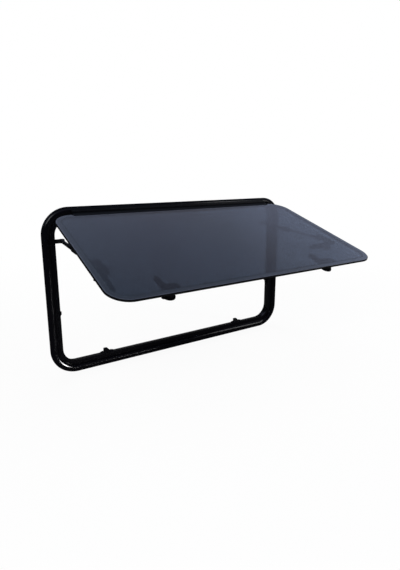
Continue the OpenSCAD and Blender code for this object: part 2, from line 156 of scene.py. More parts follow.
def noise(tree, place, size, detail, roughness=0.5):
    # soft clouds about "size" mm wide
    sockets = {"Vector": place, "Scale": 1 / (size * mm), "Detail": detail, "Roughness": roughness}
    return add(tree, "ShaderNodeTexNoise", sockets).outputs["Fac"]


def bumped(tree, height, depth, strength=1.0, over=None):
    # a relief "depth" mm deep, over another one if there is one
    sockets = {"Height": height, "Strength": strength, "Distance": depth * mm}
    if over is not None:
        sockets["Normal"] = over
    return add(tree, "ShaderNodeBump", sockets).outputs["Normal"]


def newMaterial(name):
    material = bpy.data.materials.new(name)
    material.use_nodes = True
    material.node_tree.nodes.clear()
    return material, material.node_tree


def surfaced(tree, sockets):
    shader = add(tree, "ShaderNodeBsdfPrincipled", sockets)
    add(tree, "ShaderNodeOutputMaterial", {"Surface": shader.outputs["BSDF"]})


# Moulded, coated and rubber finishes. "grain" and "patch" are real sizes in mm,
# "tooth" is how deep the grain shows, "lines" are drawn along the part: spacing and depth.
finishes = {
    # Injection-moulded ABS with a satin tool face: near black, a soft wide
    # highlight on the bead, broken up by a fine grain and faint sink marks.
    "mouldedAbs": {
        "colour": "#040407", "worn": "#07070b", "roughness": (0.13, 0.19), "specular": 0.1,
        "grain": 0.9, "tooth": 0.02, "patch": 55, "sink": 0.25, "lines": None,
    },
    # Extruded EPDM: dull, near black, with fine die lines and bloom.
    "epdmRubber": {
        "colour": "#060608", "worn": "#0c0c0f", "roughness": (0.5, 0.68), "specular": 0.08,
        "grain": 1.2, "tooth": 0.05, "patch": 30, "sink": 0.1, "lines": (1.1, 0.03),
    },
    # Glass-filled nylon, spark-eroded tool: even matte tooth, faint flow marks.
    "filledNylon": {
        "colour": "#070709", "worn": "#101014", "roughness": (0.4, 0.56), "specular": 0.1,
        "grain": 0.7, "tooth": 0.08, "patch": 14, "sink": 0.12, "lines": None,
    },
    # Powder coat on the extruded hinge rails: satin, with a slight orange peel.
    "powderCoat": {
        "colour": "#060709", "worn": "#0b0c0f", "roughness": (0.3, 0.42), "specular": 0.05,
        "grain": 1.6, "tooth": 0.06, "patch": 40, "sink": 0.1, "lines": (0.9, 0.02),
    },
    # Stove enamel on the stay tubes: smoother than the fittings.
    "stoveEnamel": {
        "colour": "#060609", "worn": "#0c0c10", "roughness": (0.4, 0.52), "specular": 0.04,
        "grain": 1.2, "tooth": 0.03, "patch": 22, "sink": 0.1, "lines": None,
    },
}
# What they share
surface = {
    "grainRoughness": 0.6,
    "grainShare": 0.35,  # of the grain in the gloss, the rest follows the patches
    "contrast": (0.3, 0.7),
    "sinkDepth": 0.4,
    "lineWaver": 0.6,
    "wavesPerUnit": 20,  # bands that the wave node draws at scale 1
    "ior": 1.5,
}


def makeFinish(name, look):
    material, tree = newMaterial(name)
    place = add(tree, "ShaderNodeTexCoord").outputs["Object"]
    patch = noise(tree, place, look["patch"], 3.0)
    grain = noise(tree, place, look["grain"], 2.0, surface["grainRoughness"])
    colour = mixTones(tree, patch, hexColour(look["colour"]), hexColour(look["worn"]))
    blend = mixValues(tree, surface["grainShare"], patch, grain)
    gloss = remap(tree, blend, surface["contrast"], look["roughness"])
    broad = bumped(tree, patch, surface["sinkDepth"], look["sink"])
    normal = bumped(tree, grain, look["tooth"], over=broad)
    if look["lines"]:
        spacing, depth = look["lines"]
        waves = add(
            tree, "ShaderNodeTexWave",
            {
                "Vector": place, "Scale": 1 / (spacing * mm * surface["wavesPerUnit"]),
                "Distortion": surface["lineWaver"], "Detail": 1.0, "Detail Scale": 0.2,
            },
            wave_type="BANDS", bands_direction="Y",
        )
        normal = bumped(tree, waves.outputs["Fac"], depth, over=normal)
    surfaced(tree, {
        "Base Color": colour, "Roughness": gloss, "Normal": normal,
        "IOR": surface["ior"], "Specular IOR Level": look["specular"],
    })
    return material


materials = {name: makeFinish(name, look) for name, look in finishes.items()}

# Black zinc plating on steel: a dark metal with fine rubbed lines.
plating = {
    "colour": "#131416",
    "rubbed": "#222327",
    "roughness": (0.32, 0.5),
    "lineSpacing": 0.8,
    "lineDepth": 0.015,
    "drawnOut": 0.08,  # lines run along Z
}


def makePlating():
    material, tree = newMaterial("blackZincPlating")
    place = add(tree, "ShaderNodeTexCoord").outputs["Object"]
    stretched = add(tree, "ShaderNodeMapping", {"Vector": place, "Scale": (1.0, 1.0, plating["drawnOut"])})
    lines = noise(tree, stretched.outputs["Vector"], plating["lineSpacing"], 3.0)
    surfaced(tree, {
        "Base Color": mixTones(tree, lines, hexColour(plating["colour"]), hexColour(plating["rubbed"])),
        "Roughness": remap(tree, lines, (0.0, 1.0), plating["roughness"]),
        "Normal": bumped(tree, lines, plating["lineDepth"]), "Metallic": 1.0,
    })
    return material


materials["blackZincPlating"] = makePlating()

# Cast smoke-tinted acrylic. The tint lies in the sheet, so what is behind shows dim
# and blue-grey, under a clear gloss; the bonded border is milkier and paler.
acrylic = {
    "tint": "#545f6f",  # outer sheet
    "innerTint": "#a0a6ae",
    "clouded": 0.94,  # the tint's share where it is deepest
    "roughness": (0.03, 0.07),
    "haze": 6,
    "ior": 1.49,
    "specular": 0.5,
    "waviness": 140,  # slight waves of the cast sheet, mm apart
    "waveDepth": 1.0,
    "waveStrength": 0.2,
    # painted shade: the outer sheet's colour is darkened towards the left end, as in the photo
    "paintedShadeFrom": 150,
    "paintedShadeTo": -420,
    "paintedShadeDeepest": 0.45,
    "bondClear": 0.7,  # the bonded border is milky
    "bondBlur": 0.6,
    "seam": "#2a333c",  # edge of the bond
    "seamWidth": 4.0,  # a real 1 mm line, as wide as it needs to show
    "seamFade": (0.3, 0.7),
    "seamSpecular": 0.0,
    "rim": "#464b58",  # sawn and flamed edge, paler with a painted glow where light gathers
    "rimGlowWidth": (1.5, 4.5),
    "rimGlowClear": 0.2,
    "edge": "#08090c",  # the edge face, dark with the strip that covers it
    "edgeWidth": (0.5, 1.1),
    "edgeSpecular": 0.1,
}


def insetFromEdge(tree, place):
    # distance in mm from the sash's rounded edge, in the sheet's own plane
    turn = Matrix.Rotation(sash["opening"], 3, "X")
    middle = sash["top"] - sash["height"] / 2 - sash["hinge"][1]
    shift = -(turn @ Vector((0, sash["hinge"][0], sash["hinge"][1])))
    flat = add(
        tree, "ShaderNodeMapping",
        {
            "Vector": place, "Scale": (1 / mm, 1 / mm, 1 / mm),
            "Rotation": (sash["opening"], 0, 0), "Location": (0, shift.y, shift.z - middle),
        },
    )
    away = add(tree, "ShaderNodeVectorMath", {0: flat.outputs["Vector"]}, operation="ABSOLUTE")
    straight = Vector((sash["width"] / 2, 0, sash["height"] / 2)) - Vector((1, 0, 1)) * sash["cornerRadius"]
    past = add(tree, "ShaderNodeVectorMath", {0: away.outputs[0], 1: straight}, operation="SUBTRACT")
    parts = add(tree, "ShaderNodeSeparateXYZ", {0: past.outputs[0]}).outputs
    x, z = maths(tree, "MAXIMUM", parts["X"], 0.0), maths(tree, "MAXIMUM", parts["Z"], 0.0)
    corner = add(tree, "ShaderNodeCombineXYZ", {"X": x, "Z": z})
    outer = add(tree, "ShaderNodeVectorMath", {0: corner.outputs[0]}, operation="LENGTH").outputs["Value"]
    inner = maths(tree, "MINIMUM", maths(tree, "MAXIMUM", parts["X"], parts["Z"]), 0.0)
    return maths(tree, "SUBTRACT", sash["cornerRadius"], maths(tree, "ADD", outer, inner))


def withBorder(tree, place, sheet):
    # the outer sheet's colour, clearness and shine with its bonded border, seam, rim and edge, with painted shade
    # towards the left end and a painted glow along the rim
    ends = (acrylic["paintedShadeTo"] * mm, acrylic["paintedShadeFrom"] * mm)
    along = add(tree, "ShaderNodeSeparateXYZ", {"Vector": place}).outputs["X"]
    # painted shade: the sheet's colour darkens towards the left end
    paintedShade = remap(tree, along, ends, (acrylic["paintedShadeDeepest"], 1.0))
    tone = add(tree, "ShaderNodeVectorMath", {0: sheet, "Scale": paintedShade}, operation="SCALE")

    inset = insetFromEdge(tree, place)
    border, blur = sash["border"], acrylic["bondBlur"]
    inBond = remap(tree, inset, (border - blur, border + blur), (1.0, 0.0))
    near = maths(tree, "ABSOLUTE", maths(tree, "SUBTRACT", inset, border))
    onSeam = remap(tree, near, [acrylic["seamWidth"] * share for share in acrylic["seamFade"]], (1.0, 0.0))
    # painted glow: a paler, less clear band along the sawn edge
    onRimGlow = remap(tree, inset, acrylic["rimGlowWidth"], (1.0, 0.0))
    onEdge = remap(tree, inset, acrylic["edgeWidth"], (1.0, 0.0))

    colour = mixTones(tree, onSeam, tone.outputs["Vector"], hexColour(acrylic["seam"]))
    # the rim's paler colour is a painted glow
    colour = mixTones(tree, onRimGlow, colour, hexColour(acrylic["rim"]))
    colour = mixTones(tree, onEdge, colour, hexColour(acrylic["edge"]))
    clear = remap(tree, inBond, (0.0, 1.0), (1.0, acrylic["bondClear"]))
    clear = mixValues(tree, onRimGlow, clear, acrylic["rimGlowClear"])
    clear = mixValues(tree, onEdge, clear, 0.0)
    shine = mixValues(tree, onSeam, acrylic["specular"], acrylic["seamSpecular"])
    shine = mixValues(tree, onEdge, shine, acrylic["edgeSpecular"])
    return colour, clear, shine


def makeAcrylic(name, tint, bonded):
    material, tree = newMaterial(name)
    place = add(tree, "ShaderNodeTexCoord").outputs["Object"]
    waves = noise(tree, place, acrylic["waviness"], 1.0)
    haze = noise(tree, place, acrylic["haze"], 3.0)
    deepest = tuple(c * acrylic["clouded"] for c in hexColour(tint)[:3]) + (1.0,)
    colour, clear, shine = mixTones(tree, waves, hexColour(tint), deepest), 1.0, acrylic["specular"]
    if bonded:
        colour, clear, shine = withBorder(tree, place, colour)
    surfaced(tree, {
        "Base Color": colour, "Roughness": remap(tree, haze, (0.0, 1.0), acrylic["roughness"]),
        "Normal": bumped(tree, waves, acrylic["waveDepth"], acrylic["waveStrength"]),
        "IOR": acrylic["ior"], "Specular IOR Level": shine, "Transmission Weight": clear,
    })
    return material


materials["smokeAcrylicOuter"] = makeAcrylic("smokeAcrylicOuter", acrylic["tint"], True)
materials["smokeAcrylicInner"] = makeAcrylic("smokeAcrylicInner", acrylic["innerTint"], False)
print("materials:", len(materials))


def addPiece(name, mesh, material):
    piece = placed(name, mesh)
    mesh.materials.clear()
    mesh.materials.append(materials[material])
    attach(piece, "root")
    return piece


# Edges of the construction's shapes: what is flat, what is an edge, how round it gets
edging = {"flatWithin": math.radians(0.2), "sharpAbove": math.radians(30), "segments": 2, "sameSpot": 1e-6}


def softened(node, name, edge, material, reshape=None):
    # the node's own shape, merged, with the small radius that its real edges have
    mesh = cadNodes[node].data.copy()
    mesh.name = name
    shape = bmesh.new()
    shape.from_mesh(mesh)
    bmesh.ops.remove_doubles(shape, verts=shape.verts, dist=edging["sameSpot"])
    bmesh.ops.dissolve_limit(shape, angle_limit=edging["flatWithin"], verts=shape.verts, edges=shape.edges)
    shape.to_mesh(mesh)
    shape.free()
    if mesh.attributes.get("custom_normal"):
        mesh.attributes.remove(mesh.attributes["custom_normal"])
    if reshape:
        reshape(mesh)
    mesh.shade_smooth()
    mesh.set_sharp_from_angle(angle=edging["sharpAbove"])
    piece = addPiece(name, mesh, material)
    bevel = piece.modifiers.new("edgeRadius", "BEVEL")
    bevel.width, bevel.segments = edge * mm, edging["segments"]
    bevel.limit_method, bevel.angle_limit = "ANGLE", edging["sharpAbove"]
    bevel.miter_outer = "MITER_ARC"
    even = piece.modifiers.new("evenFaces", "WEIGHTED_NORMAL")
    even.keep_sharp = True
    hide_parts(node)
    return piece


# Catches: centre from the sash's top left corner, turn of the base, turn of the lever
catches = {
    "left": (42, 330, 90, 180),
    "right": (903, 330, -90, -90),
    "lowerLeft": (176, 459, 0, 0),
    "lowerRight": (769, 459, 0, 0),
}
catch = {
    "plateReach": 27,
    "plateRise": 16.5,
    "plateCurve": 2.2,  # 2 would be an ellipse's quarter, more is flatter
    "hub": 14,
    "screwAside": 19,
    "screwBelow": 11,
    "baseThick": 4,
    "armFoot": 20,  # level of the arm's lower face
    "armDeeper": 6,
    "ribs": 7,
    "ribsFrom": 45,
    "ribStep": 4.8,
    "ribLevel": 24.6,
}


def reshaped(mesh, u, v, turn, rule):
    # moves a catch's points by a rule in its own axes, in mm
    base = onSashBack(u, v, 0, 0, 0)
    axes = [onSashBack(u, v, *step) - base for step in ((1, 0, 0), (0, 1, 0), (0, 0, 1))]
    for point in mesh.vertices:
        x, y, z = [(point.co / mm - base).dot(axis) for axis in axes]
        x, y, z = rule(*turnedBy(x, y, -turn), z)
        point.co = onSashBack(u, v, *turnedBy(x, y, turn), z) * mm


def flatterPlate(x, y, z):
    # the plate's round side is nearly straight, with rounded ends
    if y <= 0 or math.hypot(x, y) < catch["hub"]:
        return x, y, z
    left = max(0, 1 - y / catch["plateReach"])
    return x, catch["plateRise"] * (1 - left ** catch["plateCurve"]), z


def deeperArm(x, y, z):
    # the moulded arm is deeper than its plate
    return x, y, z - catch["armDeeper"] if abs(z - catch["armFoot"]) < 0.1 else z


# Node, piece, edge radius in mm, finish, slot
dressed = [
    ("outer_frame", "frameMoulding", 0.6, "mouldedAbs", "frame_black"),
    ("outer_pane", "outerPane", 0.4, "smokeAcrylicOuter", "smoked_acrylic"),
    ("inner_pane", "innerPane", 0.4, "smokeAcrylicInner", "smoked_acrylic_inner"),
    ("sash_seal", "sashSeal", 0.3, "epdmRubber", "seal_rubber"),
    ("frame_hinge_rail", "frameHingeRail", 0.4, "powderCoat", "rail_black"),
    ("sash_hinge_rail", "sashHingeRail", 0.4, "powderCoat", "rail_black"),
    ("catch_caps", "catchCaps", 0.7, "filledNylon", "fitting_black"),
]
for side in ("left", "right"):
    dressed += [
        (side + "_stay_bracket", side + "StayBracket", 0.5, "filledNylon", "fitting_black"),
        (side + "_stay_tube", side + "StayTube", 0.3, "stoveEnamel", "tube_black"),
        (side + "_stay_collar", side + "StayCollar", 0.6, "filledNylon", "fitting_black"),
        (side + "_stay_rod", side + "StayRod", 0.4, "blackZincPlating", "rod_steel"),
        (side + "_stay_socket", side + "StaySocket", 0.4, "filledNylon", "fitting_black"),
        (side + "_stay_foot", side + "StayFoot", 0.5, "filledNylon", "fitting_black"),
    ]
cornerNodes = {corner: corner.replace("L", "_l").replace("R", "_r") for corner in catches}
for corner, node in cornerNodes.items():
    dressed.append((node + "_striker", corner + "Striker", 0.6, "filledNylon", "fitting_black"))
for node, name, edge, material, slot in dressed:
    softened(node, name, edge, material)
for corner, (u, v, baseTurn, leverTurn) in catches.items():
    softened(
        cornerNodes[corner] + "_catch_base", corner + "CatchBase", 0.6, "filledNylon",
        reshape=lambda mesh: reshaped(mesh, u, v, baseTurn, flatterPlate),
    )
    softened(
        cornerNodes[corner] + "_catch_lever", corner + "CatchLever", 0.9, "filledNylon",
        reshape=lambda mesh: reshaped(mesh, u, v, leverTurn, deeperArm),
    )
print("construction dressed:", len(dressed) + 2 * len(catches), "pieces")


def finished(name, carrier, material):
    # the evaluated tree as one plain mesh
    mesh = bpy.data.meshes.new_from_object(carrier.evaluated_get(bpy.context.evaluated_depsgraph_get()))
    mesh.name = name
    bpy.data.objects.remove(carrier)
    return addPiece(name, mesh, material)


def newTree(name, inputs):
    tree = bpy.data.node_groups.new(name, "GeometryNodeTree")
    tree.interface.new_socket("Geometry", in_out="INPUT", socket_type="NodeSocketGeometry")
    for label, kind in inputs:
        tree.interface.new_socket(label, in_out="INPUT", socket_type="NodeSocket" + kind)
    tree.interface.new_socket("Geometry", in_out="OUTPUT", socket_type="NodeSocketGeometry")
    return tree, add(tree, "NodeGroupInput").outputs


def closeTree(tree, geometry, material):
    # real faces with their material, to the tree's end
    real = add(tree, "GeometryNodeRealizeInstances", {"Geometry": geometry})
    coated = add(tree, "GeometryNodeSetMaterial", {"Geometry": real.outputs[0], "Material": material})
    add(tree, "NodeGroupOutput", {"Geometry": coated.outputs[0]})
    return tree


def host(name, mesh, tree, values):
    # an object that carries the tree, with its inputs set by their identifiers
    carrier = placed(name + "Host", mesh)
    grown = carrier.modifiers.new(name, "NODES")
    grown.node_group = tree
    for item in tree.interface.items_tree:
        if item.in_out == "INPUT" and item.name in values:
            grown[item.identifier] = values[item.name]
    bpy.context.view_layer.update()
    return carrier


# Rubber lip on the frame's ledge, which the shut sash presses on
lip = {
    "ledgeInset": 31.5,
    "ledgeHeight": 5.0,
    "ridge": 1.3,  # radius of the raised edge beside the gutter
    "footEnd": 2.2,  # where the foot ends, in ridge radii
    "edgeCut": (0.3, 0.4),
    "valley": (3.2, 1.45),  # ridge radii inwards, mm up
    "thickness": 1.4,
    "reach": 13.5,  # from the gutter's edge to the nose
    "arcPoints": 9,
    "ridgeStep": 19,  # degrees between the ridge's points
    "noseStep": 22.5,
    "pathInset": 36.0,
    "cornerSteps": 28,
    "sharpAbove": math.radians(50),
}


def lipArc(x, y, radius, start, step):
    turns = [math.radians(start - i * step) for i in range(lip["arcPoints"])]
    return [(x + radius * math.cos(a), y + radius * math.sin(a)) for a in turns]


def lipProfile():
    # X is the inset from the frame's outside, Y the height above the wall
    inset, height, ridge, nose = lip["ledgeInset"], lip["ledgeHeight"], lip["ridge"], lip["thickness"] / 2
    along, up = lip["edgeCut"]
    points = [(inset + lip["footEnd"] * ridge, height), (inset + along, height), (inset, height + up)]
    points += lipArc(inset + ridge, height + ridge, ridge, 180, lip["ridgeStep"])
    points.append((inset + lip["valley"][0] * ridge, height + lip["valley"][1]))
    points += lipArc(inset + lip["reach"] - nose, height + nose, nose, 90, lip["noseStep"])
    curve = bpy.data.curves.new("lipProfile", "CURVE")
    curve.dimensions = "3D"
    spline = curve.splines.new("POLY")
    spline.points.add(len(points) - 1)
    spline.use_cyclic_u = True
    for spot, (x, y) in zip(spline.points, points):
        spot.co = ((x - lip["pathInset"]) * mm, y * mm, 0, 1)
    return placed("lipProfile", curve)


def sweepTree():
    # a profile swept round an upright rounded rectangle
    tree, given = newTree(
        "sealSweep",
        [
            ("Width", "Float"), ("Height", "Float"), ("Corner Radius", "Float"), ("Corner Steps", "Int"),
            ("Middle", "Float"), ("Profile", "Object"), ("Material", "Material"),
        ],
    )
    loop = add(
        tree, "GeometryNodeCurvePrimitiveQuadrilateral", {"Width": given["Width"], "Height": given["Height"]}
    )
    rounded = add(
        tree, "GeometryNodeFilletCurve",
        {"Curve": loop.outputs[0], "Radius": given["Corner Radius"], "Count": given["Corner Steps"]},
        mode="POLY",
    )
    upright = add(tree, "GeometryNodeSetCurveNormal", {"Curve": rounded.outputs[0]}, mode="Z_UP")
    section = add(tree, "GeometryNodeObjectInfo", {"Object": given["Profile"]})
    swept = add(
        tree, "GeometryNodeCurveToMesh",
        {"Curve": upright.outputs[0], "Profile Curve": section.outputs["Geometry"]},
    )
    lift = add(tree, "ShaderNodeCombineXYZ", {"Z": given["Middle"]})
    stood = add(
        tree, "GeometryNodeTransform",
        {"Geometry": swept.outputs[0], "Translation": lift.outputs[0], "Rotation": (math.pi / 2, 0, 0)},
    )
    smooth = add(tree, "GeometryNodeSetShadeSmooth", {"Geometry": stood.outputs[0]})
    return closeTree(tree, smooth.outputs[0], given["Material"])


profile = lipProfile()
lipHost = host(
    "lipSeal", bpy.data.meshes.new("lipSeal"), sweepTree(),
    {
        "Width": (window["width"] - 2 * lip["pathInset"]) * mm,
        "Height": (window["height"] - 2 * lip["pathInset"]) * mm,
        "Corner Radius": (window["cornerRadius"] - lip["pathInset"]) * mm,
        "Corner Steps": lip["cornerSteps"],
        "Middle": (window["foot"] + window["height"] / 2) * mm,
        "Profile": profile,
        "Material": materials["epdmRubber"],
    },
)
lipSeal = finished("lipSeal", lipHost, "epdmRubber")
bpy.data.objects.remove(profile)
lipShape = bmesh.new()
lipShape.from_mesh(lipSeal.data)
bmesh.ops.recalc_face_normals(lipShape, faces=lipShape.faces)
lipShape.to_mesh(lipSeal.data)
lipShape.free()
lipSeal.data.set_sharp_from_angle(angle=lip["sharpAbove"])
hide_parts("lip_seal")
print("lip seal swept:", len(lipSeal.data.polygons), "faces")

# Pan-head screws, rivets of the stays' pivots and the levers' grip ribs.
# Rings are radius and height, from the seat up.
screw = {
    "around": 24,
    "rings": ((3.5, 0.0), (3.5, 0.55), (3.35, 1.1), (2.95, 1.6), (2.35, 1.95), (1.95, 2.05)),
    "top": 2.1,
    "crossArm": 1.7,
    "crossWidth": 0.42,
    "recess": 1.1,
    "recessTaper": (0.6, 0.75),
    "sharpAbove": 35,
    "spin": 3.0,  # most that a screw is turned, in radians
    "spinSeed": 7,
}
rivet = {
    "around": 24,
    "rings": ((4.0, -0.3), (4.0, 0.35), (3.7, 0.8), (3.0, 1.25), (2.0, 1.55), (0.9, 1.68), (0.02, 1.7)),
    "sharpAbove": 40,
}
rib = {"size": (6.6, 1.3, 1.4), "round": 0.45}


def lathed(rings, around):
    # closed below; the last ring comes back to be closed
    shape = bmesh.new()
    loops = []
    for radius, height in rings:
        loops.append([
            shape.verts.new((radius * mm * math.cos(a), radius * mm * math.sin(a), height * mm))
            for a in (2 * math.pi * i / around for i in range(around))
        ])
    for low, high in zip(loops, loops[1:]):
        for i in range(around):
            j = (i + 1) % around
            shape.faces.new((low[i], low[j], high[j], high[i]))
    shape.faces.new(reversed(loops[0]))
    return shape, loops[-1]


def meshOf(name, shape, sharpAbove=None):
    mesh = bpy.data.meshes.new(name)
    shape.to_mesh(mesh)
    shape.free()
    mesh.shade_smooth()
    if sharpAbove:
        mesh.set_sharp_from_angle(angle=math.radians(sharpAbove))
    return mesh


def screwHead():
    shape, rim = lathed(screw["rings"], screw["around"])
    a, w = screw["crossArm"], screw["crossWidth"]
    outline = [
        (a, -w), (a, w), (w, w), (w, a), (-w, a), (-w, w),
        (-a, w), (-a, -w), (-w, -w), (-w, -a), (w, -a), (w, -w),
    ]
    narrowX, narrowY = screw["recessTaper"]
    floor = screw["top"] - screw["recess"]
    top = [shape.verts.new((x * mm, y * mm, screw["top"] * mm)) for x, y in outline]
    low = [shape.verts.new((x * mm * narrowX, y * mm * narrowY, floor * mm)) for x, y in outline]
    for i in range(len(outline)):
        j = (i + 1) % len(outline)
        shape.faces.new((top[i], top[j], low[j], low[i]))
    shape.faces.new(low)
    topEdges = [e for e in shape.edges if e.verts[0] in top and e.verts[1] in top]
    rimEdges = [e for e in shape.edges if e.verts[0] in rim and e.verts[1] in rim]
    bmesh.ops.bridge_loops(shape, edges=topEdges + rimEdges)
    bmesh.ops.recalc_face_normals(shape, faces=shape.faces)
    return meshOf("screwHead", shape, screw["sharpAbove"])


def rivetHead():
    shape, rim = lathed(rivet["rings"], rivet["around"])
    shape.faces.new(rim)
    return meshOf("rivetHead", shape, rivet["sharpAbove"])


def gripRib():
    # one rounded rib across a lever's finger hollow
    shape = bmesh.new()
    bmesh.ops.create_cube(shape, size=1.0)
    bmesh.ops.scale(shape, vec=[side * mm for side in rib["size"]], verts=shape.verts)
    bmesh.ops.bevel(
        shape, geom=list(shape.edges), offset=rib["round"] * mm, segments=2, profile=0.5, affect="EDGES"
    )
    return meshOf("gripRib", shape)


def settingTree():
    # sets one small part at every point, its axis along "aim"
    tree, given = newTree(
        "partSetting",
        [("Part", "Object"), ("Spin", "Float"), ("Spin Seed", "Int"), ("Material", "Material")],
    )
    aim, side = [
        add(tree, "GeometryNodeInputNamedAttribute", {"Name": label}, data_type="FLOAT_VECTOR").outputs["Attribute"]
        for label in ("aim", "side")
    ]
    facing = add(tree, "FunctionNodeAlignRotationToVector", {"Vector": aim}, axis="Z")
    settled = add(
        tree, "FunctionNodeAlignRotationToVector",
        {"Rotation": facing.outputs[0], "Vector": side}, axis="X", pivot_axis="Z",
    )
    chance = add(
        tree, "FunctionNodeRandomValue",
        {2: 0.0, 3: given["Spin"], "Seed": given["Spin Seed"]}, data_type="FLOAT",
    )
    twist = add(tree, "FunctionNodeAxisAngleToRotation", {"Axis": (0, 0, 1), "Angle": chance.outputs[1]})
    turned = add(
        tree, "FunctionNodeRotateRotation",
        {"Rotation": settled.outputs[0], "Rotate By": twist.outputs[0]}, rotation_space="LOCAL",
    )
    part = add(tree, "GeometryNodeObjectInfo", {"Object": given["Part"]})
    many = add(
        tree, "GeometryNodeInstanceOnPoints",
        {"Points": given["Geometry"], "Instance": part.outputs["Geometry"], "Rotation": turned.outputs[0]},
    )
    return closeTree(tree, many.outputs[0], given["Material"])


partSetting = settingTree()


def setParts(name, partMesh, seats, spin, seed, material):
    # seats are (point in mm, axis, sideways axis)
    points = bpy.data.meshes.new(name + "Seats")
    points.from_pydata([tuple(seat[0] * mm) for seat in seats], [], [])
    for label, column in (("aim", 1), ("side", 2)):
        values = points.attributes.new(label, "FLOAT_VECTOR", "POINT")
        for spot, seat in zip(values.data, seats):
            spot.vector = seat[column]
    part = placed(name + "Part", partMesh)
    values = {"Part": part, "Spin": spin, "Spin Seed": seed, "Material": materials[material]}
    piece = finished(name, host(name, points, partSetting, values), material)
    bpy.data.objects.remove(part)
    print(name + ":", len(seats), "set,", len(piece.data.polygons), "faces")
    return piece


# Seats of the small parts; each is worked out from the piece that it sits on
stays = {
    "inset": 41.5,
    "down": 288,
    "footHole": 10,
    "footThick": 3,
    "footHalf": 9.3,
    "pivotUp": 11,
    "bracketHole": 12,
    "frameX": 431,
    "framePivot": (18, 444),
    "discAt": 8.3,
}
strikers = {"depth": 20, "height": 195, "along": 296.5, "hole": 16}
plateTop = 3.2


def onStayBracket(x, y, z):
    return onSideWall(*stays["framePivot"], x, y, z)


def onSideStriker(x, y, z):
    return onSideWall(strikers["depth"], strikers["height"], x, y, z)


def onLowerStriker(x, y, z):
    return onSill(strikers["along"], strikers["depth"], x, y, z)


def onStayFoot(x, y, z):
    return onSashBack(stays["inset"], stays["down"], x, y, z)


def onCatch(u, v, turn=0):
    return lambda x, y, z: onSashBack(u, v, *turnedBy(x, y, turn), z)


def both(seat):
    # a seat of the left half and its mirror image
    return [seat, tuple(Vector((-v[0], v[1], v[2])) for v in seat)]


def seatFrom(spot, x, y, z):
    # point, axis and side of a seat on a plate that spot(x, y, z) describes
    point = spot(x, y, z)
    return (point, (spot(x, y, z + 1) - point).normalized(), (spot(x + 1, y, z) - point).normalized())


across, upright = Vector((1, 0, 0)), Vector((0, 0, 1))
screwSeats, rivetSeats, ribSeats = [], [], []
for end in (-1, 1):
    screwSeats += both(seatFrom(onStayBracket, end * stays["bracketHole"], 0, plateTop))
    screwSeats += both(seatFrom(onSideStriker, end * strikers["hole"], 0, plateTop))
    screwSeats += both(seatFrom(onLowerStriker, end * strikers["hole"], 0, plateTop))
    screwSeats += both(seatFrom(onStayFoot, 0, end * stays["footHole"], stays["footThick"]))
    rivetSeats += both((onStayFoot(end * stays["footHalf"], 0, stays["pivotUp"]), -end * across, upright))
    for u, v, baseTurn, leverTurn in catches.values():
        x, y = turnedBy(end * catch["screwAside"], -catch["screwBelow"], baseTurn)
        screwSeats.append(seatFrom(onCatch(u, v), x, y, catch["baseThick"]))
rivetSeats += both((Vector((stays["discAt"] - stays["frameX"], *stays["framePivot"])), across, upright))
for u, v, baseTurn, leverTurn in catches.values():
    for step in range(catch["ribs"]):
        y = catch["ribsFrom"] + step * catch["ribStep"]
        ribSeats.append(seatFrom(onCatch(u, v, leverTurn), 0, y, catch["ribLevel"]))
setParts(
    "plateScrews", screwHead(), screwSeats, screw["spin"], screw["spinSeed"], "blackZincPlating"
)
setParts("pivotRivets", rivetHead(), rivetSeats, 0.0, 0, "blackZincPlating")
setParts("leverRibs", gripRib(), ribSeats, 0.0, 0, "filledNylon")

# Studio: pale floor that fades into a white surround, soft lamps; lengths in metres
studio = {
    "floorColour": "#e9eaec",
    "fibreColour": "#f2f2f3",
    "fibre": 2.5,  # mm
    "floorReach": 30.0,
    "floorBelow": 0.0004,
    "floorGlow": 0.93,  # share of plain white where the camera or glass looks at it
    "glossFloor": 0.05,  # the same for gloss
    "fadeFrom": 0.9,
    "fadeTo": 2.2,
    "ambient": 0.55,
    # what gloss sees at each height, from the floor's level to overhead
    "sky": (
        (0.0, "#141518"), (0.33, "#26272b"), (0.41, "#c1cbe9"), (0.51, "#c1cbe9"), (0.57, "#afb5cc"),
        (0.62, "#a6afcb"), (0.66, "#a2adcb"), (0.7, "#a1aecd"), (0.75, "#92a3c4"), (1.0, "#3a3940"),
    ),
    # the share of it from left to right: a soft wall on the left, a paler one on the right
    "walls": (
        (0.25, "#ffffff"), (0.45, "#d7cfcf"), (0.6, "#ccc8c8"),
        (0.66, "#dad7da"), (0.76, "#dfdee1"), (0.81, "#fdfdff"),
    ),
}


